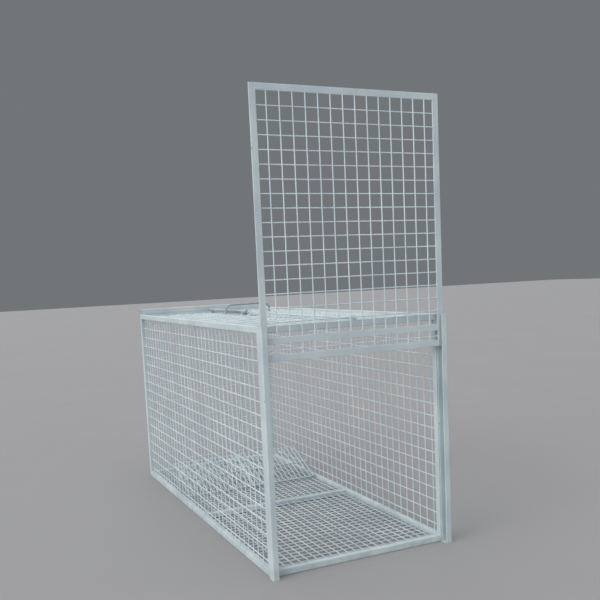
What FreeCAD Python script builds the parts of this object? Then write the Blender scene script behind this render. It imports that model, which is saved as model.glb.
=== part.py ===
import FreeCAD, Part
import math
import os
import re
import Sketcher

# Live catch trap for dog-sized animals: a welded wire cage in a box-tube frame, with a
# drop door in front guides, a see-saw treadle on the floor and a trigger rod on the roof.
# Frame: +Z up, front (door) at -Y, +X to the right seen from the front, origin on the
# ground under the middle of the bounding box.

os.makedirs("parts", exist_ok=True)
doc = FreeCAD.newDocument("LiveCatchTrap")

SIZES = [
    # cage frame
    ("cage_wide", 776.0, "width over the posts"),
    ("cage_deep", 1760.0, "length over the posts"),
    ("cage_tall", 925.0, "height of the posts"),
    ("tube_side", 25.0, "square tube, outside"),
    ("tube_wall", 1.5, "square tube, wall"),
    ("header_tall", 30.0, "height of the rear header tube"),
    ("front_y", -862.0, "front face of the posts"),
    ("floor_bar_y", -60.0, "middle of the floor cross bar"),
    # welded mesh
    ("pitch", 50.0, "wire spacing"),
    ("floor_pitch", 34.0, "wire spacing of the floor"),
    ("wire", 4.0, "wire thickness"),
    ("roof_z", 912.5, "mid-plane of the roof mesh"),
    ("floor_z", 10.0, "mid-plane of the floor mesh"),
    # door and its guides
    ("guide_deep", 36.0, "guide channel, front to back"),
    ("guide_flange", 24.0, "guide channel, flange width"),
    ("guide_thick", 3.0, "guide channel, plate thickness"),
    ("guide_out", 394.0, "outer face of each guide from the middle"),
    ("door_wide", 776.0, "width of the door"),
    ("door_tall", 964.0, "height of the door"),
    ("door_bar", 25.0, "door frame flat bar, width"),
    ("door_thick", 6.0, "door frame flat bar, thickness"),
    ("door_low", 798.0, "underside of the raised door"),
    ("door_second", 62.0, "underside of the second rail above the door's underside"),
    ("door_first_wire", 39.5, "lowest level wire above the door's underside"),
    # trigger
    ("rod_round", 8.0, "trigger rod diameter"),
    ("rod_z", 930.5, "height of the trigger rod"),
    ("rod_tip_y", -874.0, "front tip of the trigger rod"),
    ("rod_end_y", 760.0, "rear end of the trigger rod"),
    ("roof_tube_out", 20.0, "roof guide tube, outside diameter"),
    ("roof_tube_in", 15.0, "roof guide tube, bore"),
    ("roof_tube_front", 232.0, "front end of the roof guide tube"),
    ("roof_tube_long", 572.0, "length of the roof guide tube"),
    ("crank_y", 195.0, "crank pivot, along the cage"),
    ("crank_z", 888.0, "crank pivot, height"),
    ("crank_arm", 30.0, "crank pivot to link hole"),
    ("crank_pin", 8.0, "crank pivot pin diameter"),
    ("link_round", 6.0, "link rod diameter"),
    # treadle
    ("treadle_y", 388.0, "treadle axle, along the cage"),
    ("treadle_z", 76.0, "treadle axle, height"),
    ("treadle_tilt", 24.5, "slope of the raised treadle, degrees"),
    ("treadle_half", 140.0, "axle to front or rear edge"),
    ("treadle_wide", 700.0, "width of the treadle"),
    ("treadle_edge", 6.0, "treadle edge bar, width"),
    ("treadle_spine", 16.0, "treadle middle bar, width"),
    ("treadle_link", 116.0, "axle to link hole along the treadle"),
    ("lug_rise", 20.0, "link hole above the axle's level, square to the treadle"),
    ("axle_round", 10.0, "treadle axle diameter"),
    # carrying handle
    ("handle_round", 10.0, "handle bar diameter"),
    ("handle_wide", 250.0, "handle leg spacing"),
    ("handle_tall", 50.0, "handle height above the roof mesh, to the bar's middle"),
    ("handle_bend", 36.0, "handle bend radius"),
    ("handle_x", 100.0, "handle's middle, to the right of the roof tube"),
    ("handle_y", 470.0, "handle position along the cage"),
]

sheet = doc.addObject("Spreadsheet::Sheet", "Sizes")
for row, (alias, value, meaning) in enumerate(SIZES, start=1):
    sheet.set("A%d" % row, meaning)
    sheet.set("B%d" % row, str(value))
    sheet.setAlias("B%d" % row, alias)
doc.recompute()

ALIASES = [entry[0] for entry in SIZES]
ALIAS_WORDS = re.compile(r"\b(" + "|".join(ALIASES) + r")\b")
subparts = []


def size(alias):
    """The number that the sheet holds for an alias."""
    return float(sheet.get(alias))


def bound(text):
    """An expression for another object, with each alias looked up in the sheet."""
    return ALIAS_WORDS.sub(r"Sizes.\1", str(text))


def value(text):
    """The number that an expression gives now."""
    return float(sheet.evalExpression(str(text)))


def keep(item, label):
    """Name an object as one of the trap's sub-parts."""
    item.Label = label
    subparts.append(item)
    return item


def place(item, x, y, z):
    """Bind an object's position to the sheet."""
    for axis, text in zip("xyz", (x, y, z)):
        item.setExpression("Placement.Base." + axis, bound(text))
    return item


def box(name, x, y, z, long_x, long_y, long_z):
    """A box by its low corner and its three lengths."""
    item = doc.addObject("Part::Box", name)
    item.setExpression("Length", bound(long_x))
    item.setExpression("Width", bound(long_y))
    item.setExpression("Height", bound(long_z))
    return place(item, x, y, z)


TURNS = {
    "x": FreeCAD.Rotation(FreeCAD.Vector(0, 1, 0), 90),
    "y": FreeCAD.Rotation(FreeCAD.Vector(1, 0, 0), -90),
    "z": FreeCAD.Rotation(),
}


def rod(name, axis, x, y, z, long, diameter):
    """A round bar that starts at a point and runs along +axis."""
    item = doc.addObject("Part::Cylinder", name)
    item.Placement = FreeCAD.Placement(FreeCAD.Vector(), TURNS[axis])
    item.setExpression("Radius", bound("(%s) / 2" % diameter))
    item.setExpression("Height", bound(long))
    return place(item, x, y, z)


def cut(name, base, tool):
    """The base with the tool taken away."""
    item = doc.addObject("Part::Cut", name)
    item.Base = base
    item.Tool = tool
    return item


def fuse(name, shapes):
    """Several shapes as one welded piece."""
    item = doc.addObject("Part::MultiFuse", name)
    item.Shapes = shapes
    return item


def group(name, shapes):
    """Separate like pieces that share one node."""
    item = doc.addObject("Part::Compound", name)
    item.Links = shapes
    return item


def tube(label, axis, x, y, z, long, wide="tube_side", tall="tube_side", closed_top=False):
    """Square tube along one axis, by its low corner. wide and tall are its two sides."""
    sides = {"x": (long, wide, tall), "y": (wide, long, tall), "z": (wide, tall, long)}[axis]
    outer = box(label + "_outer", x, y, z, *sides)
    low = {"x": x, "y": y, "z": z}
    inner_sides = {}
    inner_low = {}
    for name, side in zip("xyz", sides):
        if name == axis:
            shorter = "tube_wall" if closed_top else "0"
            inner_sides[name] = "(%s) - %s" % (side, shorter)
            inner_low[name] = low[name]
        else:
            inner_sides[name] = "(%s) - 2 * tube_wall" % side
            inner_low[name] = "(%s) + tube_wall" % low[name]
    inner = box(label + "_inner", inner_low["x"], inner_low["y"], inner_low["z"],
                inner_sides["x"], inner_sides["y"], inner_sides["z"])
    return keep(cut(label, outer, inner), label)


def origin_plane(body, role):
    """One of a body's own origin planes."""
    return next(f for f in body.Origin.OriginFeatures if f.Role == role)


def sketch_on(body, role, name):
    """An empty sketch on one of a body's origin planes."""
    sketch = body.newObject("Sketcher::SketchObject", name)
    sketch.AttachmentSupport = (origin_plane(body, role), [""])
    sketch.MapMode = "FlatFace"
    return sketch


def pin_down(sketch, geometry, point, x, y):
    """Hold a sketch point at two sheet-driven distances from the sketch origin."""
    for kind, text, axis in (("DistanceX", x, -2), ("DistanceY", y, -1)):
        if abs(value(text)) < 1e-9:
            sketch.addConstraint(Sketcher.Constraint("PointOnObject", geometry, point, axis))
        else:
            number = sketch.addConstraint(
                Sketcher.Constraint(kind, -1, 1, geometry, point, value(text)))
            sketch.setExpression("Constraints[%d]" % number, bound(text))


def polygon(sketch, corners):
    """A closed outline through corners whose coordinates are expressions."""
    points = [FreeCAD.Vector(value(x), value(y), 0) for x, y in corners]
    count = len(points)
    for i in range(count):
        sketch.addGeometry(Part.LineSegment(points[i], points[(i + 1) % count]), False)
    for i in range(count):
        sketch.addConstraint(Sketcher.Constraint("Coincident", i, 2, (i + 1) % count, 1))
    for i, (x, y) in enumerate(corners):
        pin_down(sketch, i, 1, x, y)


def circle(sketch, x, y, diameter):
    """A circle with its centre and diameter bound to the sheet."""
    centre = FreeCAD.Vector(value(x), value(y), 0)
    radius = value("(%s) / 2" % diameter)
    number = sketch.addGeometry(
        Part.Circle(centre, FreeCAD.Vector(0, 0, 1), radius), False)
    pin_down(sketch, number, 3, x, y)
    index = sketch.addConstraint(Sketcher.Constraint("Diameter", number, 2 * radius))
    sketch.setExpression("Constraints[%d]" % index, bound(diameter))


def plate(label, role, corners, thick, holes=()):
    """A flat plate: an outline with round holes, padded from one of its origin planes."""
    body = doc.addObject("PartDesign::Body", label)
    outline = sketch_on(body, role, label + "_outline")
    polygon(outline, corners)
    for x, y, diameter in holes:
        circle(outline, x, y, diameter)
    pad = body.newObject("PartDesign::Pad", label + "_pad")
    pad.Profile = outline
    pad.setExpression("Length", bound(thick))
    return body


def lattice(across, up, low, high, wires_across, wires_up, middle, normal):
    """Welded wire mesh as one piece, whose wire ends butt on the frame around it.

    across and up are the plane's two axes, low and high its corners in them, and
    wires_across and wires_up the middles of the wires that cross each axis.
    """
    half = size("wire") / 2
    lines_a = sorted(wires_across)
    lines_b = sorted(wires_up)

    def point(a, b):
        spot = {across: a, up: b, normal: middle - half}
        return FreeCAD.Vector(spot["x"], spot["y"], spot["z"])

    first_a, last_a = lines_a[0] - half, lines_a[-1] + half
    first_b, last_b = lines_b[0] - half, lines_b[-1] + half
    outline = []
    for a in lines_a:
        outline += [(a - half, first_b), (a - half, low[1]), (a + half, low[1]), (a + half, first_b)]
    for b in lines_b:
        outline += [(last_a, b - half), (high[0], b - half), (high[0], b + half), (last_a, b + half)]
    for a in reversed(lines_a):
        outline += [(a + half, last_b), (a + half, high[1]), (a - half, high[1]), (a - half, last_b)]
    for b in reversed(lines_b):
        outline += [(first_a, b + half), (low[0], b + half), (low[0], b - half), (first_a, b - half)]
    corners = []
    for corner in outline:
        if not corners or corner != corners[-1]:
            corners.append(corner)
    if corners[0] == corners[-1]:
        corners.pop()
    loops = [corners]
    for a0, a1 in zip(lines_a, lines_a[1:]):
        for b0, b1 in zip(lines_b, lines_b[1:]):
            loops.append([(a0 + half, b0 + half), (a0 + half, b1 - half),
                          (a1 - half, b1 - half), (a1 - half, b0 + half)])
    wires = [Part.makePolygon([point(a, b) for a, b in loop + loop[:1]]) for loop in loops]
    face = Part.Face(wires)
    push = {"x": (1, 0, 0), "y": (0, 1, 0), "z": (0, 0, 1)}[normal]
    return face.extrude(FreeCAD.Vector(*push) * 2 * half)


def mesh_part(label, shape):
    """A mesh panel in the document."""
    item = doc.addObject("Part::Feature", label)
    item.Shape = shape
    item.Placement = FreeCAD.Placement()
    return keep(item, label)


def ladder(start, stop, first, spacing="pitch"):
    """Wire positions one pitch apart, from first, that stay between start and stop."""
    pitch = size(spacing)
    clear = size("wire")
    spots = []
    spot = first
    while spot < stop - clear:
        if spot > start + clear:
            spots.append(spot)
        spot += pitch
    return spots


# ---------------------------------------------------------------- cage frame
REAR_Y = "(front_y + cage_deep)"
LEFT = "-cage_wide / 2"
RIGHT = "cage_wide / 2 - tube_side"

for side, x in (("left", LEFT), ("right", RIGHT)):
    tube("post_front_" + side, "z", x, "front_y", "0", "cage_tall", closed_top=True)
    tube("post_rear_" + side, "z", x, REAR_Y + " - tube_side", "0", "cage_tall", closed_top=True)

BETWEEN_X = "cage_wide - 2 * tube_side"
BETWEEN_Y = "cage_deep - 2 * tube_side"
IN_X = LEFT + " + tube_side"
IN_Y = "front_y + tube_side"
for level, z in (("base", "0"), ("top", "cage_tall - tube_side")):
    tube("rail_%s_front" % level, "x", IN_X, "front_y", z, BETWEEN_X)
    tube("rail_%s_rear" % level, "x", IN_X, REAR_Y + " - tube_side", z, BETWEEN_X)
    tube("rail_%s_left" % level, "y", LEFT, IN_Y, z, BETWEEN_Y)
    tube("rail_%s_right" % level, "y", RIGHT, IN_Y, z, BETWEEN_Y)

# The header lies across the rear posts and stands above the roof.
tube("header_rear", "x", LEFT, REAR_Y + " - tube_side", "cage_tall", "cage_wide", tall="header_tall")

# One bar across the floor, between the two base side rails.
tube("floor_cross_bar", "x", IN_X, "floor_bar_y - tube_side / 2", "0", BETWEEN_X)

# ---------------------------------------------------------------- mesh panels
inner_x = size("cage_wide") / 2 - size("tube_side")
inner_front = size("front_y") + size("tube_side")
inner_rear = size("front_y") + size("cage_deep") - size("tube_side")
inner_low = size("tube_side")
inner_high = size("cage_tall") - size("tube_side")
panel_x = (size("cage_wide") - size("tube_side")) / 2
panel_rear = size("front_y") + size("cage_deep") - size("tube_side") / 2
across_cage = ladder(-inner_x, inner_x, -13 * size("pitch") / 2)
floor_front_edge = size("floor_bar_y") - size("tube_side") / 2
floor_rear_edge = size("floor_bar_y") + size("tube_side") / 2

mesh_part("mesh_left", lattice(
    "y", "z", (inner_front, inner_low), (inner_rear, inner_high),
    ladder(inner_front, inner_rear, inner_front + 25), ladder(inner_low, inner_high, 48),
    -panel_x, "x"))
mesh_part("mesh_right", lattice(
    "y", "z", (inner_front, inner_low), (inner_rear, inner_high),
    ladder(inner_front, inner_rear, inner_front + 34), ladder(inner_low, inner_high, 59),
    panel_x, "x"))
mesh_part("mesh_rear", lattice(
    "x", "z", (-inner_x, inner_low), (inner_x, inner_high),
    across_cage, ladder(inner_low, inner_high, 72), panel_rear, "y"))
mesh_part("mesh_roof", lattice(
    "x", "y", (-inner_x, inner_front), (inner_x, inner_rear),
    across_cage, ladder(inner_front, inner_rear, size("crank_y") - 19.5 * size("pitch")),
    size("roof_z"), "z"))
# The floor has a closer mesh than the rest.
across_floor = ladder(-inner_x, inner_x, -10 * size("floor_pitch"), "floor_pitch")
mesh_part("mesh_floor_front", lattice(
    "x", "y", (-inner_x, inner_front), (inner_x, floor_front_edge), across_floor,
    ladder(inner_front, floor_front_edge, inner_front + 8, "floor_pitch"), size("floor_z"), "z"))
mesh_part("mesh_floor_rear", lattice(
    "x", "y", (-inner_x, floor_rear_edge), (inner_x, inner_rear), across_floor,
    ladder(floor_rear_edge, inner_rear, floor_rear_edge + 20, "floor_pitch"),
    size("floor_z"), "z"))

# ---------------------------------------------------------------- door guides
# Each guide is a channel that opens towards the middle: the back flange is welded on
# the post, and the door's stile runs behind the front flange.
GUIDE_BACK = "front_y"
GUIDE_FRONT = "front_y - guide_deep"
for side, sign in (("left", "-"), ("right", "")):
    out = sign + "guide_out"
    web = sign + "(guide_out - guide_thick)"
    lip = sign + "(guide_out - guide_flange)"
    corners = [
        (out, GUIDE_BACK), (lip, GUIDE_BACK), (lip, GUIDE_BACK + " - guide_thick"),
        (web, GUIDE_BACK + " - guide_thick"), (web, GUIDE_FRONT + " + guide_thick"),
        (lip, GUIDE_FRONT + " + guide_thick"), (lip, GUIDE_FRONT), (out, GUIDE_FRONT),
    ]
    keep(plate("door_guide_" + side, "XY_Plane", corners, "cage_tall"), "door_guide_" + side)

# A plate in the foot of each guide stops the door just above the ground.
stops = []
for side, x in (("left", "-(guide_out - guide_thick)"), ("right", "cage_wide / 2 - tube_side")):
    stops.append(box("door_stop_" + side, x, "front_y - guide_deep + guide_thick", "0",
                     "guide_out - guide_thick - cage_wide / 2 + tube_side",
                     "guide_deep - 2 * guide_thick", "3"))
keep(group("door_stops", stops), "door_stops")

# ---------------------------------------------------------------- door
# The door's frame is flat bar, far thinner than the guides are deep.
DOOR_Y = "front_y - guide_deep / 2 - door_thick / 2"
for side, x in (("left", "-door_wide / 2"), ("right", "door_wide / 2 - door_bar")):
    name = "door_stile_" + side
    keep(box(name, x, DOOR_Y, "door_low", "door_bar", "door_thick", "door_tall"), name)
for level, z in (("bottom", "door_low"), ("second", "door_low + door_second"),
                 ("top", "door_low + door_tall - door_bar")):
    name = "door_rail_" + level
    keep(box(name, "-door_wide / 2 + door_bar", DOOR_Y, z, "door_wide - 2 * door_bar",
             "door_thick", "door_bar"), name)

door_x = size("door_wide") / 2 - size("door_bar")
door_y = size("front_y") - size("guide_deep") / 2
door_low = size("door_low")
second_low = door_low + size("door_second")
door_high = door_low + size("door_tall") - size("door_bar")
first_wire = door_low + size("door_first_wire")
door_across = ladder(-door_x, door_x, -13 * size("pitch") / 2)
mesh_part("door_mesh_low", lattice(
    "x", "z", (-door_x, door_low + size("door_bar")), (door_x, second_low),
    door_across, [first_wire], door_y, "y"))
mesh_part("door_mesh_main", lattice(
    "x", "z", (-door_x, second_low + size("door_bar")), (door_x, door_high),
    door_across, ladder(second_low + size("door_bar"), door_high, first_wire + size("pitch")),
    door_y, "y"))

# ---------------------------------------------------------------- roof tube and rod
tube_outer = rod("roof_tube_outer", "y", "0", "roof_tube_front", "rod_z", "roof_tube_long",
                 "roof_tube_out")
tube_bore = rod("roof_tube_bore", "y", "0", "roof_tube_front", "rod_z", "roof_tube_long",
                "roof_tube_in")
keep(cut("roof_tube", tube_outer, tube_bore), "roof_tube")

# Two saddles carry the tube on the roof wires.
SADDLE_LOW = "roof_z + wire / 2"
saddles = []
for number, y in enumerate(("roof_tube_front + 38", "roof_tube_front + roof_tube_long - 34")):
    block = box("saddle_block_%d" % number, "-14", y + " - 8", SADDLE_LOW, "28", "16",
                "rod_z - 3 - (%s)" % SADDLE_LOW)
    seat = rod("saddle_seat_%d" % number, "y", "0", y + " - 9", "rod_z", "18", "roof_tube_out")
    saddles.append(cut("saddle_%d" % number, block, seat))
keep(group("tube_saddles", saddles), "tube_saddles")

# The front rail carries an eye that the rod slides through.
eye_block = box("rod_eye_block", "-9", "front_y + 6", "cage_tall", "18", "12", "15")
eye_bore = rod("rod_eye_bore", "y", "0", "front_y + 5", "rod_z", "14", "rod_round + 0.16")
keep(cut("rod_eye", eye_block, eye_bore), "rod_eye")

rod_bar = rod("trigger_rod_bar", "y", "0", "rod_tip_y", "rod_z", "rod_end_y - rod_tip_y",
              "rod_round")
rod_cross_hole = rod("trigger_rod_hole", "x", "-6", "crank_y", "rod_z", "12", "5")
keep(cut("trigger_rod", rod_bar, rod_cross_hole), "trigger_rod")
keep(rod("trigger_cross_pin", "x", "-8", "crank_y", "rod_z", "20", "5"), "trigger_cross_pin")

# ---------------------------------------------------------------- crank under the roof
# The hanger's top plate lies on the roof wires. Its two cheeks hang through one mesh
# cell and carry the crank's pivot pin.
hanger_top = box("hanger_top", "-30", "crank_y - 30", SADDLE_LOW, "60", "60", "3")
hanger_slot = box("hanger_slot", "2", "crank_y - 25", "%s - 1" % SADDLE_LOW, "10", "50", "5")
hanger_plate = cut("hanger_plate", hanger_top, hanger_slot)
cheeks = []
for number, x in enumerate(("-14", "14")):
    cheeks.append(box("hanger_cheek_%d" % number, x, "crank_y - 15", "crank_z - 12", "3", "30",
                      "%s - crank_z + 12" % SADDLE_LOW))
hanger_body = fuse("hanger_body", [hanger_plate] + cheeks)
hanger_bore = rod("hanger_bore", "x", "-20", "crank_y", "crank_z", "40", "crank_pin")
keep(cut("crank_hanger", hanger_body, hanger_bore), "crank_hanger")
keep(rod("crank_pivot_pin", "x", "-17", "crank_y", "crank_z", "37", "crank_pin"),
     "crank_pivot_pin")

# The crank's upright arm is a fork round the rod's cross pin, and its level arm
# carries the link.
crank_hub = rod("crank_hub", "x", "-10.4", "crank_y", "crank_z", "23.8", "17")
crank_upright = box("crank_upright", "5", "crank_y - 6", "crank_z", "4", "12", "40")
crank_fork = box("crank_fork", "5", "crank_y - 8.5", "crank_z + 32", "4", "17", "20")
crank_level = box("crank_level", "5", "crank_y", "crank_z - 6", "4", "crank_arm", "12")
crank_end = rod("crank_end", "x", "5", "crank_y + crank_arm", "crank_z", "4", "14")
crank_solid = fuse("crank_solid", [crank_hub, crank_upright, crank_fork, crank_level, crank_end])
crank_slot = box("crank_slot", "4", "crank_y - 3.4", "rod_z - 4.5", "6", "6.8", "30")
crank_bore = rod("crank_bore", "x", "-12", "crank_y", "crank_z", "27", "crank_pin + 0.14")
crank_eye = rod("crank_eye", "x", "4", "crank_y + crank_arm", "crank_z", "6",
                "link_round + 0.16")
crank_voids = fuse("crank_voids", [crank_slot, crank_bore, crank_eye])
keep(cut("bell_crank", crank_solid, crank_voids), "bell_crank")


def bent_rod(points, bends, diameter):
    """A round rod along straight runs joined by tangent arcs."""
    edges = []
    start = points[0]
    for before, corner, after, radius in zip(points, points[1:], points[2:], bends):
        to_before = (before - corner).normalize()
        to_after = (after - corner).normalize()
        half_angle = to_before.getAngle(to_after) / 2
        reach = radius / math.tan(half_angle)
        enter = corner + to_before * reach
        leave = corner + to_after * reach
        bisector = (to_before + to_after).normalize()
        centre = corner + bisector * (radius / math.sin(half_angle))
        middle = centre - bisector * radius
        edges.append(Part.LineSegment(start, enter).toShape())
        edges.append(Part.Arc(enter, middle, leave).toShape())
        start = leave
    edges.append(Part.LineSegment(start, points[-1]).toShape())
    path = Part.Wire(edges)
    section = Part.Wire(Part.makeCircle(diameter / 2, points[0], points[1] - points[0]))
    return path.makePipeShell([section], True, False)


# The link hangs from the crank's level arm, and its lower hook goes through the lug on
# the treadle.
tilt = math.radians(size("treadle_tilt"))
link_top_y = size("crank_y") + size("crank_arm")
link_top_z = size("crank_z")
reach = size("treadle_link")
rise = size("lug_rise")
link_low_y = size("treadle_y") + reach * math.cos(tilt) - rise * math.sin(tilt)
link_low_z = size("treadle_z") + reach * math.sin(tilt) + rise * math.cos(tilt)
link_path = [
    FreeCAD.Vector(13, link_top_y, link_top_z), FreeCAD.Vector(-2, link_top_y, link_top_z),
    FreeCAD.Vector(-2, link_low_y, link_low_z), FreeCAD.Vector(13, link_low_y, link_low_z),
]
link = doc.addObject("Part::Feature", "link_rod")
link.Shape = bent_rod(link_path, (3.6, 3.6), size("link_round"))
link.Placement = FreeCAD.Placement()
keep(link, "link_rod")

# ---------------------------------------------------------------- treadle
# Modelled level about its axle, then tipped up at the rear with one placement.
TIPPED = FreeCAD.Rotation(FreeCAD.Vector(1, 0, 0), size("treadle_tilt"))


def tip(item):
    """Put a level treadle piece at the axle, on the slope."""
    item.Placement = FreeCAD.Placement(FreeCAD.Vector(), TIPPED)
    item.setExpression("Placement.Base.y", bound("treadle_y"))
    item.setExpression("Placement.Base.z", bound("treadle_z"))
    return item


keep(rod("treadle_axle", "x", "-cage_wide / 2 + 20", "treadle_y", "treadle_z",
         "cage_wide - 40", "axle_round"), "treadle_axle")

side_bars = []
for number, (x, wide) in enumerate((("-treadle_wide / 2", "treadle_edge"),
                                    ("treadle_wide / 2 - treadle_edge", "treadle_edge"),
                                    ("-treadle_spine / 2", "treadle_spine"))):
    bar = box("treadle_bar_%d" % number, x, "-treadle_half + treadle_edge", "4", wide,
              "2 * (treadle_half - treadle_edge)", "5")
    notch = rod("treadle_notch_%d" % number, "x", "(%s) - 1" % x, "0", "0", wide + " + 2",
                "axle_round")
    side_bars.append(cut("treadle_long_bar_%d" % number, bar, notch))
keep(tip(group("treadle_long_bars", side_bars)), "treadle_long_bars")
end_bars = []
for number, y in enumerate(("-treadle_half", "treadle_half - treadle_edge")):
    end_bars.append(box("treadle_end_bar_%d" % number, "-treadle_wide / 2", y, "4",
                        "treadle_wide", "treadle_edge", "5"))
keep(tip(group("treadle_end_bars", end_bars)), "treadle_end_bars")

# Long wires at half the cage's pitch, held by one cross wire over the axle.
tread_out = size("treadle_wide") / 2 - size("treadle_edge")
tread_in = size("treadle_spine") / 2
tread_end = size("treadle_half") - size("treadle_edge")
tread_level = size("axle_round") / 2 + 0.1 + size("wire") / 2
tread_columns = [size("pitch") / 2 * i for i in range(1, 14)]
tread_panels = []
for number, sign in enumerate((-1, 1)):
    columns = [sign * spot for spot in tread_columns]
    low_x, high_x = sorted((sign * tread_in, sign * tread_out))
    panel = doc.addObject("Part::Feature", "treadle_panel_%d" % number)
    panel.Shape = lattice("x", "y", (low_x, -tread_end), (high_x, tread_end),
                          columns, [0], tread_level, "z")
    panel.Placement = FreeCAD.Placement()
    tread_panels.append(panel)
keep(tip(group("treadle_mesh", tread_panels)), "treadle_mesh")

# The lug stands on the middle bar and takes the link's hook with room to swing.
lug_plate = box("link_lug_plate", "3.5", "treadle_link - 14", "9", "4", "28", "lug_rise - 9")
lug_crown = rod("link_lug_crown", "x", "3.5", "treadle_link", "lug_rise", "4", "22")
lug_trim = box("link_lug_trim", "2", "treadle_link - 20", "0", "8", "40", "9")
lug_solid = cut("link_lug_solid", fuse("link_lug_both", [lug_plate, lug_crown]), lug_trim)
lug_bore = rod("link_lug_bore", "x", "2", "treadle_link", "lug_rise", "8", "link_round + 4")
keep(tip(cut("treadle_lug", lug_solid, lug_bore)), "treadle_lug")

# Two upright lugs on the base side rails carry the axle.
axle_lugs = []
for side, x in (("left", "-cage_wide / 2 + tube_side"), ("right", "cage_wide / 2 - tube_side - 4")):
    upright = box("axle_lug_plate_" + side, x, "treadle_y - 15", "14", "4", "30", "treadle_z - 14")
    crown = rod("axle_lug_crown_" + side, "x", x, "treadle_y", "treadle_z", "4", "30")
    blank = fuse("axle_lug_blank_" + side, [upright, crown])
    bore = rod("axle_lug_bore_" + side, "x", "(%s) - 1" % x, "treadle_y", "treadle_z", "6",
               "axle_round + 0.16")
    axle_lugs.append(cut("axle_lug_" + side, blank, bore))
keep(group("axle_lugs", axle_lugs), "axle_lugs")

# ---------------------------------------------------------------- carrying handle
handle = doc.addObject("PartDesign::Body", "carry_handle")
spine = sketch_on(handle, "XZ_Plane", "handle_path")
half_wide = size("handle_wide") / 2
foot = size("roof_z") + size("wire") / 2
crest = foot + size("handle_tall")
bend = size("handle_bend")
left_turn = FreeCAD.Vector(-half_wide + bend, crest - bend, 0)
right_turn = FreeCAD.Vector(half_wide - bend, crest - bend, 0)
AXIS = FreeCAD.Vector(0, 0, 1)
spine.addGeometry(Part.LineSegment(FreeCAD.Vector(-half_wide, foot, 0),
                                   FreeCAD.Vector(-half_wide, crest - bend, 0)), False)
spine.addGeometry(Part.ArcOfCircle(Part.Circle(left_turn, AXIS, bend), math.pi / 2, math.pi), False)
spine.addGeometry(Part.LineSegment(FreeCAD.Vector(-half_wide + bend, crest, 0),
                                   FreeCAD.Vector(half_wide - bend, crest, 0)), False)
spine.addGeometry(Part.ArcOfCircle(Part.Circle(right_turn, AXIS, bend), 0, math.pi / 2), False)
spine.addGeometry(Part.LineSegment(FreeCAD.Vector(half_wide, crest - bend, 0),
                                   FreeCAD.Vector(half_wide, foot, 0)), False)
FOOT = "roof_z + wire / 2"
TURN = FOOT + " + handle_tall - handle_bend"
CREST = FOOT + " + handle_tall"
for geometry, point, x, z in (
        (0, 1, "-handle_wide / 2", FOOT), (0, 2, "-handle_wide / 2", TURN),
        (2, 1, "-handle_wide / 2 + handle_bend", CREST),
        (2, 2, "handle_wide / 2 - handle_bend", CREST),
        (4, 1, "handle_wide / 2", TURN), (4, 2, "handle_wide / 2", FOOT)):
    pin_down(spine, geometry, point, x, z)
for first, first_end, arc, arc_end in ((0, 2, 1, 2), (2, 1, 1, 1), (2, 2, 3, 2), (4, 1, 3, 1)):
    spine.addConstraint(Sketcher.Constraint("Coincident", first, first_end, arc, arc_end))
for arc in (1, 3):
    index = spine.addConstraint(Sketcher.Constraint("Radius", arc, bend))
    spine.setExpression("Constraints[%d]" % index, bound("handle_bend"))
section = sketch_on(handle, "XY_Plane", "handle_section")
circle(section, "-handle_wide / 2", "0", "handle_round")
section.AttachmentOffset = FreeCAD.Placement(FreeCAD.Vector(0, 0, foot), FreeCAD.Rotation())
section.setExpression("AttachmentOffset.Base.z", bound(FOOT))
pipe = handle.newObject("PartDesign::AdditivePipe", "handle_pipe")
pipe.Profile = section
pipe.Spine = spine
handle.setExpression("Placement.Base.x", bound("handle_x"))
handle.setExpression("Placement.Base.y", bound("handle_y"))
keep(handle, "carry_handle")

# ---------------------------------------------------------------- check and write
doc.recompute()
for item in doc.Objects:
    for word in ("Invalid", "Error"):
        if word in item.State:
            raise RuntimeError("%s is %s" % (item.Label, word))
for item in subparts:
    shape = item.Shape
    if shape.isNull() or not shape.isValid() or not shape.Solids:
        raise RuntimeError("%s has no sound solid" % item.Label)
    shape.exportStep("parts/%s.step" % item.Label)
    print("%-20s solids %d  volume %.0f mm3" % (item.Label, len(shape.Solids), shape.Volume))
print("%d sub-parts" % len(subparts))
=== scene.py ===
import math
import random

import bpy
from mathutils import Matrix, Vector


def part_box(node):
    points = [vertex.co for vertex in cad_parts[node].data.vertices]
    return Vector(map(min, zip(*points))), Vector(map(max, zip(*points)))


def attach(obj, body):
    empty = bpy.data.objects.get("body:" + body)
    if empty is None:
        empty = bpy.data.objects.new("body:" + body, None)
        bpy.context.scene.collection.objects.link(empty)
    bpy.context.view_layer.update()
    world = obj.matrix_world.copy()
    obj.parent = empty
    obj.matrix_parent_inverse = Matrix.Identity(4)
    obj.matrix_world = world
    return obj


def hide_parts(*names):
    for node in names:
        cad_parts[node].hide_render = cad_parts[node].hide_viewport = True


# Looks for a live catch trap: hand-brushed grey-blue enamel on a welded box-tube frame, on
# round welded wire and on the trigger rod, which runs in a galvanised tube on the roof.
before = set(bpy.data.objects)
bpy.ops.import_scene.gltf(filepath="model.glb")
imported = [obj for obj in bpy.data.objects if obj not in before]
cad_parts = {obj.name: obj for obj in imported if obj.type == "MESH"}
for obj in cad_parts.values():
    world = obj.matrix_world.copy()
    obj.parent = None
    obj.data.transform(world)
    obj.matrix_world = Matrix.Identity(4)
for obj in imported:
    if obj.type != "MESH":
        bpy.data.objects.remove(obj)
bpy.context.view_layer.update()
rng = random.Random(41)

X = Vector((1, 0, 0))
Y = Vector((0, 1, 0))
Z = Vector((0, 0, 1))
AXES = {"x": X, "y": Y, "z": Z}
INDEX = {"x": 0, "y": 1, "z": 2}

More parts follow.
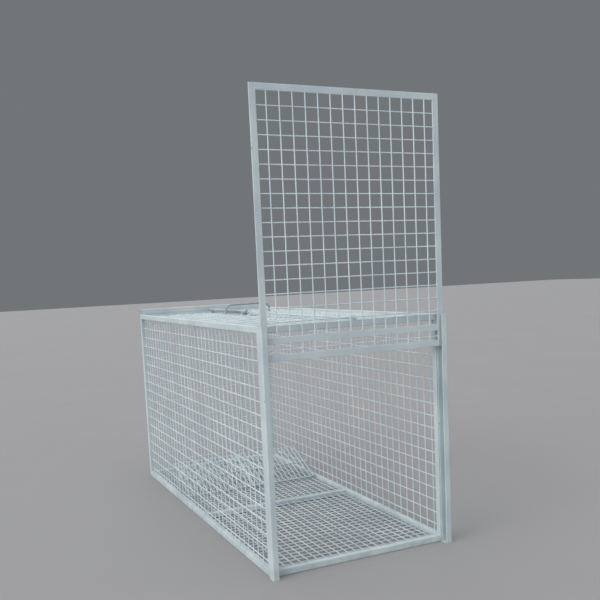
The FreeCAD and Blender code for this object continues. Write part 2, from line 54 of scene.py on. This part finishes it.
PITCH = 0.050
FLOOR_PITCH = 0.034
COATED = 0.0046  # 4 mm wire under its paint
LAYER = 0.0014  # from a mesh panel's middle to the middle of each of its two layers
TUBE_WALL = 0.0015
SHEET = 0.003  # the door guides' folded sheet
REAR_END = 0.869  # no wire stands behind this
ROOF_END = 0.896  # no level wire stands above this
SMOOTH_BELOW = 34  # degrees: flatter joints than this are shaded as curves
WIRE_SHARP = 80


# ---------------------------------------------------------------- materials
class Shader:
    """A material under construction: short calls for adding and joining nodes."""

    def __init__(self, name):
        self.material = bpy.data.materials.new(name)
        self.material.use_nodes = True
        self.tree = self.material.node_tree
        self.tree.nodes.clear()
        self.surface = self.node("ShaderNodeBsdfPrincipled")
        output = self.node("ShaderNodeOutputMaterial")
        self.join(self.surface.outputs["BSDF"], output.inputs["Surface"])
        self.place = self.node("ShaderNodeTexCoord").outputs["Object"]

    def node(self, kind, **settings):
        made = self.tree.nodes.new(kind)
        for key, setting in settings.items():
            setattr(made, key, setting)
        return made

    def join(self, source, target):
        self.tree.links.new(source, target)

    def scaled(self, scale):
        """Object coordinates, stretched."""
        mapping = self.node("ShaderNodeMapping")
        mapping.inputs["Scale"].default_value = scale
        self.join(self.place, mapping.inputs["Vector"])
        return mapping.outputs["Vector"]

    def noise(self, scale, stretch=(1, 1, 1), detail=3.0, rough=0.55, twist=0.0):
        made = self.node("ShaderNodeTexNoise")
        made.inputs["Scale"].default_value = scale
        made.inputs["Detail"].default_value = detail
        made.inputs["Roughness"].default_value = rough
        made.inputs["Distortion"].default_value = twist
        self.join(self.scaled(stretch), made.inputs["Vector"])
        return made.outputs["Fac"]

    def cells(self, scale, stretch=(1, 1, 1)):
        made = self.node("ShaderNodeTexVoronoi")
        made.inputs["Scale"].default_value = scale
        self.join(self.scaled(stretch), made.inputs["Vector"])
        return made.outputs["Color"]

    def ramp(self, value, *stops):
        made = self.node("ShaderNodeValToRGB")
        elements = made.color_ramp.elements
        while len(elements) < len(stops):
            elements.new(0.5)
        for element, (position, colour) in zip(elements, stops):
            element.position = position
            element.color = (*colour, 1)
        self.join(value, made.inputs["Fac"])
        return made.outputs["Color"]

    def span(self, value, low, high, start=0.0, stop=1.0):
        """A value carried from one range to another, and held at its ends."""
        made = self.node("ShaderNodeMapRange")
        made.inputs["From Min"].default_value = low
        made.inputs["From Max"].default_value = high
        made.inputs["To Min"].default_value = start
        made.inputs["To Max"].default_value = stop
        self.join(value, made.inputs["Value"])
        return made.outputs["Result"]

    def blend(self, share, first, second):
        """Two colours mixed. Each is a socket or a plain colour."""
        made = self.node("ShaderNodeMix", data_type="RGBA")
        self.join(share, made.inputs["Factor"])
        for source, target in ((first, made.inputs["A"]), (second, made.inputs["B"])):
            if isinstance(source, tuple):
                target.default_value = (*source, 1)
            else:
                self.join(source, target)
        return made.outputs["Result"]

    def sums(self, operation, first, second):
        made = self.node("ShaderNodeMath", operation=operation)
        for source, target in ((first, made.inputs[0]), (second, made.inputs[1])):
            if isinstance(source, (int, float)):
                target.default_value = source
            else:
                self.join(source, target)
        return made.outputs["Value"]

    def part_of(self, axis):
        """One of the three object coordinates."""
        made = self.node("ShaderNodeSeparateXYZ")
        self.join(self.place, made.inputs["Vector"])
        return made.outputs[axis]

    def attribute(self, name):
        return self.node("ShaderNodeAttribute", attribute_name=name).outputs["Fac"]

    def bump(self, height, depth, under=None):
        made = self.node("ShaderNodeBump")
        made.inputs["Distance"].default_value = depth
        made.inputs["Strength"].default_value = 1.0
        self.join(height, made.inputs["Height"])
        if under is not None:
            self.join(under, made.inputs["Normal"])
        return made.outputs["Normal"]

    def finish(self, colour, roughness, normal, **fixed):
        self.join(colour, self.surface.inputs["Base Color"])
        self.join(roughness, self.surface.inputs["Roughness"])
        self.join(normal, self.surface.inputs["Normal"])
        for name, number in fixed.items():
            self.surface.inputs[name.replace("_", " ")].default_value = number
        return self.material


PALE = (0.53, 0.605, 0.615)
COOL = (0.44, 0.52, 0.552)
SHADE = (0.355, 0.42, 0.447)
SOIL = (0.215, 0.215, 0.15)
PRIMER = (0.17, 0.155, 0.145)
RUST = (0.16, 0.072, 0.033)


def enamel(name, along, lighter=1.0):
    """Brushed enamel. The brush marks run along one axis of the piece."""
    s = Shader(name)
    pale, cool = (tuple(min(1.0, c * lighter) for c in tone) for tone in (PALE, COOL))
    stroke = {"x": (4, 190, 190), "y": (190, 4, 190), "z": (190, 190, 4)}[along]
    patch = s.noise(5.5, detail=4.0)
    strokes = s.noise(1.0, stroke, detail=5.0, rough=0.65)
    runs = s.noise(1.0, (85, 85, 9), detail=2.0, twist=0.4)
    speck = s.noise(420.0, detail=2.0)
    tone = s.blend(s.span(patch, 0.38, 0.62), pale, cool)
    tone = s.blend(s.span(strokes, 0.52, 0.78, 0.0, 0.42), tone, SHADE)
    low = s.span(s.part_of("Z"), 0.07, 0.0)
    grime = s.sums("MULTIPLY", low, s.span(s.noise(23.0, detail=5.0), 0.40, 0.66))
    tone = s.blend(s.sums("MULTIPLY", grime, 0.3), tone, SOIL)
    chip = s.span(s.noise(64.0, detail=6.0, rough=0.7), 0.65, 0.67)
    worn = s.sums("MULTIPLY", s.attribute("edge"), chip)
    tone = s.blend(worn, tone, PRIMER)
    rusty = s.sums("MULTIPLY", worn, s.span(s.noise(19.0), 0.54, 0.62))
    tone = s.blend(rusty, tone, RUST)
    rough = s.span(strokes, 0.25, 0.8, 0.30, 0.50)
    rough = s.sums("ADD", rough, s.sums("MULTIPLY", grime, 0.3))
    normal = s.bump(strokes, 0.00035)
    normal = s.bump(runs, 0.0009, normal)
    normal = s.bump(speck, 0.00006, normal)
    normal = s.bump(s.sums("SUBTRACT", 1.0, worn), 0.0002, normal)
    return s.finish(tone, rough, normal, Coat_Weight=0.12, Coat_Roughness=0.25)


def galvanised(name):
    s = Shader(name)
    spangle = s.cells(95.0, (1, 0.55, 1))
    grey = s.span(spangle, 0.0, 1.0)
    tone = s.ramp(grey, (0.0, (0.33, 0.40, 0.46)), (0.5, (0.44, 0.52, 0.58)),
                  (1.0, (0.54, 0.61, 0.66)))
    bloom = s.span(s.noise(34.0, (1, 0.25, 1), detail=5.0), 0.50, 0.68)
    tone = s.blend(s.sums("MULTIPLY", bloom, 0.6), tone, (0.60, 0.64, 0.66))
    stain = s.span(s.noise(11.0, (3, 1, 3), detail=6.0), 0.60, 0.72)
    tone = s.blend(s.sums("MULTIPLY", stain, 0.6), tone, (0.16, 0.15, 0.14))
    rough = s.sums("ADD", s.span(grey, 0.0, 1.0, 0.30, 0.44), s.sums("MULTIPLY", bloom, 0.22))
    normal = s.bump(s.noise(260.0, (1, 0.5, 1)), 0.0002)
    normal = s.bump(bloom, 0.0002, normal)
    return s.finish(tone, rough, normal, Metallic=0.75)


def steel(name, along, tone_low, tone_high):
    s = Shader(name)
    stroke = {"x": (6, 900, 900), "y": (900, 6, 900), "z": (900, 900, 6)}[along]
    drawn = s.noise(1.0, stroke, detail=3.0)
    tone = s.blend(s.span(drawn, 0.3, 0.7), tone_low, tone_high)
    spot = s.noise(70.0, detail=7.0, rough=0.7)
    film = s.span(s.noise(9.0, detail=4.0), 0.48, 0.64)
    rusty = s.sums("MULTIPLY", s.span(spot, 0.50, 0.60), film)
    tone = s.blend(rusty, tone, RUST)
    rough = s.sums("ADD", s.span(drawn, 0.3, 0.7, 0.30, 0.42), s.sums("MULTIPLY", rusty, 0.45))
    normal = s.bump(drawn, 0.00006)
    normal = s.bump(rusty, 0.00025, normal)
    return s.finish(tone, rough, normal, Metallic=0.85)


def dark_paint(name):
    s = Shader(name)
    patch = s.noise(26.0, detail=5.0)
    tone = s.blend(s.span(patch, 0.35, 0.65), (0.215, 0.25, 0.265), (0.31, 0.35, 0.365))
    chip = s.span(s.noise(88.0, detail=6.0, rough=0.7), 0.60, 0.63)
    tone = s.blend(chip, tone, RUST)
    # painted highlight: the upper part of the handle is made lighter grey in patches, where
    # light falls on its top
    top_band = s.span(s.part_of("Z"), 0.955, 0.975)
    painted_highlight = s.sums("MULTIPLY", top_band, s.span(s.noise(40.0, detail=4.0), 0.42, 0.60))
    tone = s.blend(s.sums("MULTIPLY", painted_highlight, 0.6), tone, (0.44, 0.46, 0.46))
    rough = s.span(patch, 0.3, 0.7, 0.34, 0.55)
    normal = s.bump(s.noise(150.0, detail=3.0), 0.0003)
    normal = s.bump(s.sums("SUBTRACT", 1.0, chip), 0.00025, normal)
    return s.finish(tone, rough, normal, Coat_Weight=0.1)


PAINT = {axis: enamel("enamel_brushed_" + axis, axis) for axis in "xyz"}
# the wires' enamel is the frame's enamel made 12% lighter: painted light, for thin wires that
# catch less light than the tubes
WIRE_PAINT = enamel("enamel_wire_painted_light", "z", 1.12)
BEAD_PAINT = enamel("enamel_weld", "x", 1.04)
ZINC = galvanised("galvanised_steel")
PIN_STEEL = steel("turned_steel", "x", (0.30, 0.31, 0.31), (0.46, 0.47, 0.47))
HANDLE_PAINT = dark_paint("handle_enamel")


# ---------------------------------------------------------------- mesh building
class Batch:
    """Points and faces gathered for one piece, with a mark on each point near an edge."""

    def __init__(self):
        self.points = []
        self.faces = []
        self.edge = []

    def ring(self, centre, first, second, radius, sides):
        start = len(self.points)
        for i in range(sides):
            angle = 2 * math.pi * i / sides
            spoke = first * math.cos(angle) + second * math.sin(angle)
            self.points.append(centre + spoke * radius)
            self.edge.append(0.0)
        return list(range(start, start + sides))

    def skin(self, rings, closed=False):
        pairs = list(zip(rings, rings[1:]))
        if closed:
            pairs.append((rings[-1], rings[0]))
        for low, high in pairs:
            count = len(low)
            for i in range(count):
                j = (i + 1) % count
                self.faces.append((low[i], low[j], high[j], high[i]))

    def line(self, points, normal, radii, sides=8, closed=False):
        """A round bar along points that lie near one plane with that normal."""
        rings = []
        count = len(points)
        for i, point in enumerate(points):
            before = points[i - 1] if i or closed else points[0]
            after = points[(i + 1) % count] if i + 1 < count or closed else points[-1]
            ahead = (after - before).normalized()
            side = ahead.cross(normal).normalized()
            radius = radii[i] if isinstance(radii, list) else radii
            rings.append(self.ring(point, normal, side, radius, sides))
        self.skin(rings, closed)
        if not closed:
            self.faces.append(tuple(reversed(rings[0])))
            self.faces.append(tuple(rings[-1]))

    def blob(self, centre, size, sides=7, bands=4):
        """A small rounded lump of weld or paint."""
        top = len(self.points)
        self.points.append(centre + Z * size.z)
        self.edge.append(0.0)
        rings = []
        for band in range(1, bands):
            tilt = math.pi * band / bands
            start = len(self.points)
            for i in range(sides):
                angle = 2 * math.pi * i / sides
                self.points.append(centre + Vector((
                    size.x * math.sin(tilt) * math.cos(angle),
                    size.y * math.sin(tilt) * math.sin(angle), size.z * math.cos(tilt))))
                self.edge.append(0.0)
            rings.append(list(range(start, start + sides)))
        bottom = len(self.points)
        self.points.append(centre - Z * size.z)
        self.edge.append(0.0)
        for i in range(sides):
            j = (i + 1) % sides
            self.faces.append((top, rings[0][i], rings[0][j]))
            self.faces.append((bottom, rings[-1][j], rings[-1][i]))
        for low, high in zip(rings, rings[1:]):
            for i in range(sides):
                j = (i + 1) % sides
                self.faces.append((low[i], high[i], high[j], low[j]))

    def object(self, name, material, body, stands_for=(), sharp=180.0):
        """The finished piece, which rides on a body."""
        mesh = bpy.data.meshes.new(name)
        mesh.from_pydata([tuple(p) for p in self.points], [], self.faces)
        mark = mesh.attributes.new("edge", "FLOAT", "POINT")
        mark.data.foreach_set("value", self.edge)
        mesh.shade_smooth()
        if sharp < 180:
            mesh.set_sharp_from_angle(angle=math.radians(sharp))
        mesh.materials.append(material)
        made = bpy.data.objects.new(name, mesh)
        bpy.context.scene.collection.objects.link(made)
        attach(made, body)
        if stands_for:
            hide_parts(*stands_for)


def rounded(corners, radii, steps=3, margin=0.0022):
    """A closed outline with its corners rounded: (u, v, nearness to an edge)."""
    outline = []
    count = len(corners)
    for i, (corner, radius) in enumerate(zip(corners, radii)):
        here = Vector(corner)
        before = (Vector(corners[i - 1]) - here).normalized()
        after = (Vector(corners[(i + 1) % count]) - here).normalized()
        centre = here + (before + after) * radius
        outline.append((*(here + before * (radius + margin)), 0.0))
        for step in range(steps + 1):
            angle = math.pi / 2 * step / steps
            spot = centre - after * radius * math.cos(angle) - before * radius * math.sin(angle)
            outline.append((*spot, 1.0))
        outline.append((*(here + after * (radius + margin)), 0.0))
    return outline


def rectangle(low, high, radius, **more):
    corners = [(low[0], low[1]), (high[0], low[1]), (high[0], high[1]), (low[0], high[1])]
    return rounded(corners, [radius] * 4, **more)


def sweep(batch, outline, spot, start, stop, inner=None, closed_top=False, spacing=0.05):
    """Carry an outline along a straight run. spot turns (u, v, t) into a point.

    inner is the outline of the hollow, with as many points as the outer one.
    """
    count = max(2, int((stop - start) / spacing) + 1)
    runs = [start + (stop - start) * i / (count - 1) for i in range(count)]

    def rings(shape):
        made = []
        for t in runs:
            first = len(batch.points)
            for u, v, near in shape:
                batch.points.append(spot(u, v, t))
                batch.edge.append(near)
            made.append(list(range(first, first + len(shape))))
        return made

    outer = rings(outline)
    batch.skin(outer)
    if inner is None:
        batch.faces.append(tuple(reversed(outer[0])))
        batch.faces.append(tuple(outer[-1]))
        return
    hollow = rings(inner)
    batch.skin([list(reversed(r)) for r in hollow])
    size = len(outline)
    for i in range(size):
        j = (i + 1) % size
        batch.faces.append((outer[0][j], outer[0][i], hollow[0][i], hollow[0][j]))
        if not closed_top:
            batch.faces.append((outer[-1][i], outer[-1][j], hollow[-1][j], hollow[-1][i]))
    if closed_top:
        batch.faces.append(tuple(outer[-1]))


SPOTS = {
    "x": lambda u, v, t: Vector((t, u, v)),
    "y": lambda u, v, t: Vector((v, t, u)),
    "z": lambda u, v, t: Vector((u, v, t)),
}
ACROSS = {"x": ("y", "z"), "y": ("z", "x"), "z": ("x", "y")}


def box_along(node, axis):
    """A node's box seen along one axis: two corners (u, v), and where it starts and stops."""
    low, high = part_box(node)
    u, v = (INDEX[name] for name in ACROSS[axis])
    t = INDEX[axis]
    return (low[u], low[v]), (high[u], high[v]), low[t], high[t]


def square_tube(node, axis, body, closed_top=False):
    """A square tube with rounded corners in the place of a CAD tube."""
    corner_low, corner_high, start, stop = box_along(node, axis)
    outer = rectangle(corner_low, corner_high, 0.0026)
    inner = rectangle([c + TUBE_WALL for c in corner_low], [c - TUBE_WALL for c in corner_high],
                      0.0012)
    batch = Batch()
    sweep(batch, outer, SPOTS[axis], start, stop, inner, closed_top)
    batch.object(node + "_tube", PAINT[axis], body, [node], SMOOTH_BELOW)


# ---------------------------------------------------------------- frame tubes
for side in ("left", "right"):
    for end in ("front", "rear"):
        square_tube("post_%s_%s" % (end, side), "z", "cage", closed_top=True)
    for level in ("base", "top"):
        square_tube("rail_%s_%s" % (level, side), "y", "cage")
for level in ("base", "top"):
    for end in ("front", "rear"):
        square_tube("rail_%s_%s" % (level, end), "x", "cage")
square_tube("header_rear", "x", "cage")
square_tube("floor_cross_bar", "x", "cage")


def door_bar(node, axis):
    """A flat bar of the door's frame, with its edges rolled soft."""
    corner_low, corner_high, start, stop = box_along(node, axis)
    outline = rectangle(corner_low, corner_high, 0.0011, margin=0.0012)
    batch = Batch()
    sweep(batch, outline, SPOTS[axis], start, stop)
    batch.object(node + "_bar", PAINT[axis], "door", [node], SMOOTH_BELOW)


for side in ("left", "right"):
    door_bar("door_stile_" + side, "z")
for name in ("bottom", "second", "top"):
    door_bar("door_rail_" + name, "x")


def door_guide(side, sign):
    """A channel of folded sheet, open towards the middle of the cage."""
    low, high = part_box("door_guide_" + side)
    out, lip = (low.x, high.x) if sign < 0 else (high.x, low.x)
    inward = SHEET * -sign
    corners = [(out, high.y), (lip, high.y), (lip, high.y - SHEET),
               (out + inward, high.y - SHEET), (out + inward, low.y + SHEET),
               (lip, low.y + SHEET), (lip, low.y), (out, low.y)]
    radii = [0.0040, 0.0008, 0.0008, 0.0014, 0.0014, 0.0008, 0.0008, 0.0040]
    if sign < 0:
        corners.reverse()
        radii.reverse()
    batch = Batch()
    sweep(batch, rounded(corners, radii, margin=0.0006), SPOTS["z"], low.z, high.z)
    batch.object("door_guide_%s_channel" % side, PAINT["z"], "cage",
                 ["door_guide_" + side], SMOOTH_BELOW)


door_guide("left", -1)
door_guide("right", 1)


# ---------------------------------------------------------------- welded wire mesh
def ladder(first, stop, pitch=PITCH):
    """Wire positions one pitch apart, from first up to stop."""
    return [first + pitch * i for i in range(int((stop - first) / pitch + 1e-6) + 1)]


def wire_panel(batch, a_axis, b_axis, low, high, a_wires, b_wires, middle, wander=0.0005,
               frame_of=None):
    """Two layers of round wire, welded where they cross and tacked to the frame.

    low and high are the panel's corners along axes a and b. The wires that stand at
    a_wires are on the side of the panel that its normal points to.
    """
    a_dir, b_dir = AXES[a_axis], AXES[b_axis]
    normal = a_dir.cross(b_dir)
    turn = frame_of or (lambda point: point)
    base = normal * (middle / sum(normal))
    axis = turn(normal) - turn(Vector())
    for stations, own, other, start, stop, lift in (
            (a_wires, a_dir, b_dir, low[1], high[1], LAYER),
            (b_wires, b_dir, a_dir, low[0], high[0], -LAYER)):
        for station in stations:
            count = max(2, round((stop - start) / PITCH) + 1)
            drift = rng.uniform(-1, 1) * wander
            points = []
            for i in range(count):
                inside = 0 < i < count - 1
                sway = drift + rng.uniform(-1, 1) * wander * 0.6 if inside else 0.0
                rise = rng.uniform(-1, 1) * wander * 0.8 if inside else 0.0
                points.append(turn(base + own * (station + sway) + normal * (lift + rise)
                                   + other * (start + (stop - start) * i / (count - 1))))
            batch.line(points, axis, COATED / 2, sides=8)
            for end in (points[0], points[-1]):
                grow = rng.uniform(0.0026, 0.0036)
                batch.blob(end, Vector((grow, grow, grow)))
    for a in a_wires:
        for b in b_wires:
            grow = rng.uniform(0.85, 1.2)
            flat = Vector([0.0031 * grow if abs(n) < 0.5 else 0.0026 for n in normal])
            batch.blob(turn(base + a_dir * a + b_dir * b), flat, sides=6)


def one_panel(node, a_axis, b_axis, a_wires, b_wires, wander=0.0005):
    """The wires of a CAD mesh panel, with its corners and its plane from its box."""
    body = "door" if node.startswith("door") else "cage"
    low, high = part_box(node)
    a, b = INDEX[a_axis], INDEX[b_axis]
    across_panel = 3 - a - b
    batch = Batch()
    wire_panel(batch, a_axis, b_axis, (low[a], low[b]), (high[a], high[b]), a_wires, b_wires,
               (low[across_panel] + high[across_panel]) / 2, wander)
    batch.object(node + "_wires", WIRE_PAINT, body, [node], WIRE_SHARP)


def from_front(node, gap, last=REAR_END, pitch=PITCH):
    """Cross wires from the front edge of a panel, the first one a gap behind it."""
    return ladder(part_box(node)[0].y + gap, last, pitch)


across = ladder(-0.325, 0.325)
across_floor = ladder(-0.340, 0.340, FLOOR_PITCH)
one_panel("mesh_left", "y", "z", from_front("mesh_left", 0.025), ladder(0.048, ROOF_END))
one_panel("mesh_right", "y", "z", from_front("mesh_right", 0.034), ladder(0.059, ROOF_END))
one_panel("mesh_rear", "z", "x", ladder(0.072, ROOF_END), across)
one_panel("mesh_roof", "x", "y", across, ladder(-0.780, REAR_END))
one_panel("mesh_floor_front", "x", "y", across_floor,
          from_front("mesh_floor_front", 0.008, -0.0765, FLOOR_PITCH))
one_panel("mesh_floor_rear", "x", "y", across_floor,
          from_front("mesh_floor_rear", 0.020, REAR_END, FLOOR_PITCH))
one_panel("door_mesh_main", "z", "x", ladder(0.9375, 1.733), across, wander=0.0003)
one_panel("door_mesh_low", "z", "x", [0.8375], across, wander=0.0003)

# ---------------------------------------------------------------- treadle
TREADLE_AXLE = Vector((0, 0.388, 0.076))
TREADLE_SLOPE = math.radians(24.5)
TREADLE_SPAN = 0.350  # half its width
TREADLE_REACH = 0.140  # half its length
TREADLE_EDGE = 0.134  # where its wires stop and its end bars start
TIPPED = Matrix.Translation(TREADLE_AXLE) @ Matrix.Rotation(TREADLE_SLOPE, 4, "X")


def on_treadle(point):
    return TIPPED @ point


treads = Batch()
for sign in (-1, 1):
    columns = sorted(sign * PITCH / 2 * i for i in range(1, 14))
    edges = sorted((sign * 0.008, sign * 0.344))
    wire_panel(treads, "x", "y", (edges[0], -TREADLE_EDGE), (edges[1], TREADLE_EDGE),
               columns, [0.0], 0.0071, frame_of=on_treadle)
treads.object("treadle_mesh_wires", WIRE_PAINT, "treadle", ["treadle_mesh"],
              WIRE_SHARP)


def end_bar(batch, y):
    """A flat bar across the treadle, from y[0] to y[1] down its slope."""
    outline = rectangle((y[0], 0.004), (y[1], 0.009), 0.0009, margin=0.0008)
    sweep(batch, outline, lambda u, v, t: on_treadle(Vector((t, u, v))),
          -TREADLE_SPAN, TREADLE_SPAN)


ends = Batch()
for y in ((-TREADLE_REACH, -TREADLE_EDGE), (TREADLE_EDGE, TREADLE_REACH)):
    end_bar(ends, y)
ends.object("treadle_end_bars_flat", PAINT["x"], "treadle", ["treadle_end_bars"],
            SMOOTH_BELOW)


# ---------------------------------------------------------------- weld beads
STITCH = 0.0019  # radius of a short bead
THIN_BEAD = 0.0017
RIPPLE = 0.0022  # from one ripple point to the next


def bead_path(corners, closed, radius):
    """Points and radii of a rippled bead along straight runs."""
    points = []
    radii = []
    runs = list(zip(corners, corners[1:] + corners[:1] if closed else corners[1:]))
    for start, stop in runs:
        count = max(2, int((stop - start).length / RIPPLE))
        for i in range(count):
            points.append(start.lerp(stop, i / count)
                          + Vector([rng.uniform(-1, 1) * 0.0003 for _ in range(3)]))
            ripple = 1 + 0.16 * math.sin(len(points) * 1.9) + rng.uniform(-0.12, 0.12)
            radii.append(radius * ripple)
    return points, radii


def bead(batch, corners, normal, radius=0.0021, closed=True):
    points, radii = bead_path(corners, closed, radius)
    batch.line(points, normal, radii, sides=7, closed=closed)


def joint_bead(batch, node, axis, end, radius=0.0021):
    """The bead round a tube where its end butts on another tube."""
    corner_low, corner_high, start, stop = box_along(node, axis)
    t = start if end == "low" else stop
    u, v = ACROSS[axis]
    inset = 0.0006
    # the underside is ground flush, so that the frame and the door stand flat
    under = {"x": inset, "y": inset, "z": radius * 1.5}
    span_u = (corner_low[0] + under[u], corner_high[0] - inset)
    span_v = (corner_low[1] + under[v], corner_high[1] - inset)
    corners = [SPOTS[axis](a, b, t) for a, b in (
        (span_u[0], span_v[0]), (span_u[1], span_v[0]),
        (span_u[1], span_v[1]), (span_u[0], span_v[1]))]
    bead(batch, corners, AXES[axis], radius)


cage_welds = Batch()
for level in ("base", "top"):
    for side in ("left", "right"):
        for end in ("low", "high"):
            joint_bead(cage_welds, "rail_%s_%s" % (level, side), "y", end)
    for place in ("front", "rear"):
        for end in ("low", "high"):
            joint_bead(cage_welds, "rail_%s_%s" % (level, place), "x", end)
for end in ("low", "high"):
    joint_bead(cage_welds, "floor_cross_bar", "x", end)
for side in ("left", "right"):
    # each rear post's head is welded to the header that lies on it
    joint_bead(cage_welds, "post_rear_" + side, "z", "high", 0.0018)
    # short stitches hold each guide to its post
    low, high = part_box("door_guide_" + side)
    for x in (low.x + 0.001, high.x - 0.001):
        for z in (0.060, 0.275, 0.490, 0.705, 0.880):
            bead(cage_welds, [Vector((x, high.y, z)), Vector((x, high.y, z + 0.030))], X,
                 STITCH, closed=False)


def flat_ring(low, high, z):
    """The corners of a level rectangle."""
    return [Vector((low[0], low[1], z)), Vector((high[0], low[1], z)),
            Vector((high[0], high[1], z)), Vector((low[0], high[1], z))]


# the rod's eye stands on the front rail, and two saddles on the roof wires
low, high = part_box("rod_eye")
bead(cage_welds, flat_ring(low, high, low.z), Z, THIN_BEAD)
low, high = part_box("tube_saddles")
SADDLE = 0.016  # one saddle's length along the tube
for y in (low.y, high.y - SADDLE):
    bead(cage_welds, flat_ring((low.x, y), (high.x, y + SADDLE), low.z), Z, STITCH)
# the axle's lugs are welded to the base rails on both edges
low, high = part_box("axle_lugs")
for x in (low.x, high.x):
    for y in (low.y, high.y):
        bead(cage_welds, [Vector((x, y, 0.015)), Vector((x, y, 0.0245))], X, STITCH,
             closed=False)
# the crank's hanger is tacked to the wires under its plate
low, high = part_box("crank_hanger")
for x in (low.x + 0.004, high.x - 0.004):
    for y in (low.y + 0.012, high.y - 0.012):
        cage_welds.blob(Vector((x, y, high.z - 0.003)), Vector((0.005, 0.005, 0.0035)))

# the handle's feet stand on the roof wires
FOOT_POINTS = 18
low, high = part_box("carry_handle")
for x in (low.x + 0.005, high.x - 0.005):
    foot = Vector((x, (low.y + high.y) / 2, low.z + 0.001))
    points, radii = [], []
    for i in range(FOOT_POINTS):
        angle = 2 * math.pi * i / FOOT_POINTS
        points.append(foot + Vector((math.cos(angle), math.sin(angle), 0)) * 0.0052)
        radii.append(0.0022 * (1 + rng.uniform(-0.2, 0.25)))
    cage_welds.line(points, Z, radii, sides=7, closed=True)
cage_welds.object("cage_weld_beads", BEAD_PAINT, "cage")

door_welds = Batch()
for name in ("bottom", "second", "top"):
    for end in ("low", "high"):
        joint_bead(door_welds, "door_rail_" + name, "x", end, THIN_BEAD)
door_welds.object("door_weld_beads", BEAD_PAINT, "door")

# ---------------------------------------------------------------- carried-over CAD nodes
CARRIED = {
    "door_stops": PAINT["x"], "rod_eye": PAINT["x"], "tube_saddles": PAINT["x"],
    "crank_hanger": PAINT["z"], "bell_crank": PAINT["z"], "treadle_long_bars": PAINT["y"],
    "treadle_lug": PAINT["y"], "axle_lugs": PAINT["z"], "roof_tube": ZINC,
    "trigger_rod": PAINT["y"], "trigger_cross_pin": PIN_STEEL, "crank_pivot_pin": PIN_STEEL,
    "treadle_axle": PAINT["x"], "link_rod": PAINT["z"], "carry_handle": HANDLE_PAINT,
}
for node, material in CARRIED.items():
    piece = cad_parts[node]
    for slot in piece.material_slots:
        slot.material = material
    if not piece.material_slots:
        piece.data.materials.append(material)
    weld = piece.modifiers.new("joined_points", "WELD")
    weld.merge_threshold = 0.00001
    bevel = piece.modifiers.new("soft_edges", "BEVEL")
    bevel.width = 0.0006
    bevel.segments = 2
    bevel.limit_method = "ANGLE"
    bevel.angle_limit = math.radians(40)

# ---------------------------------------------------------------- floor, light, camera
FLOOR_REACH = 40.0
FLOOR_Z = -0.0004
floor_mesh = bpy.data.meshes.new("floor")
floor_mesh.from_pydata([(x * FLOOR_REACH, y * FLOOR_REACH, FLOOR_Z)
                        for x, y in ((-1, -1), (1, -1), (1, 1), (-1, 1))], [], [(0, 1, 2, 3)])
floor_paint = Shader("studio_floor")
floor_tone = floor_paint.blend(
    floor_paint.noise(0.8), (0.275, 0.273, 0.267), (0.295, 0.293, 0.287))
floor_mesh.materials.append(floor_paint.finish(
    floor_tone, floor_paint.span(floor_paint.noise(3.0), 0, 1, 0.80, 0.92),
    floor_paint.bump(floor_paint.noise(60.0), 0.0002)))
floor = bpy.data.objects.new("floor", floor_mesh)
bpy.context.scene.collection.objects.link(floor)

world = bpy.data.worlds.new("studio")
world.use_nodes = True
sky = world.node_tree.nodes["Background"]
sky.inputs["Color"].default_value = (0.165, 0.178, 0.188, 1)
sky.inputs["Strength"].default_value = 1.0
bpy.context.scene.world = world
bpy.context.scene.view_settings.view_transform = "Standard"


def soft_sun(name, energy, spread, comes_from, colour):
    """Even light from a wide patch of sky, the same all over the floor."""
    light = bpy.data.lights.new(name, "SUN")
    light.angle = math.radians(spread)
    light.energy = energy
    light.color = colour
    lamp = bpy.data.objects.new(name, light)
    lamp.rotation_mode = "QUATERNION"
    lamp.rotation_quaternion = (-Vector(comes_from)).to_track_quat("-Z", "Y")
    bpy.context.scene.collection.objects.link(lamp)


soft_sun("overhead", 1.9, 100, (-0.25, -0.08, 1.0), (0.975, 0.955, 1.02))
soft_sun("left", 2.1, 50, (-6.6, -1.6, 2.4), (1.0, 0.995, 0.98))
soft_sun("front", 0.62, 60, (0.6, -6.6, 2.2), (0.97, 0.985, 1.0))
soft_sun("right", 0.5, 60, (6.0, -0.6, 2.4), (0.95, 0.975, 1.0))
soft_sun("rear", 0.5, 60, (0.8, 5.0, 2.4), (0.94, 0.97, 1.0))

IMAGE = 600  # the frame's width in pixels, the unit of the focal length and the shifts
FOCAL = 760.9966
SENSOR = 36.0
camera_data = bpy.data.cameras.new("photo_view")
camera_data.sensor_width = SENSOR
camera_data.lens = FOCAL * SENSOR / IMAGE
camera_data.shift_x = 20 / IMAGE
camera_data.shift_y = 60 / IMAGE
camera_data.clip_end = 200
camera = bpy.data.objects.new("photo_view", camera_data)
turn = Vector((1.6408, -0.3861, 0.2751))
world_to_view = Matrix.Rotation(turn.length, 3, turn)
right, down, ahead = world_to_view
camera.matrix_world = Matrix((
    (right.x, -down.x, -ahead.x, -1.4058845),
    (right.y, -down.y, -ahead.y, -3.3559311),
    (right.z, -down.z, -ahead.z, 1.0942782),
    (0, 0, 0, 1)))
bpy.context.scene.collection.objects.link(camera)
bpy.context.scene.camera = camera
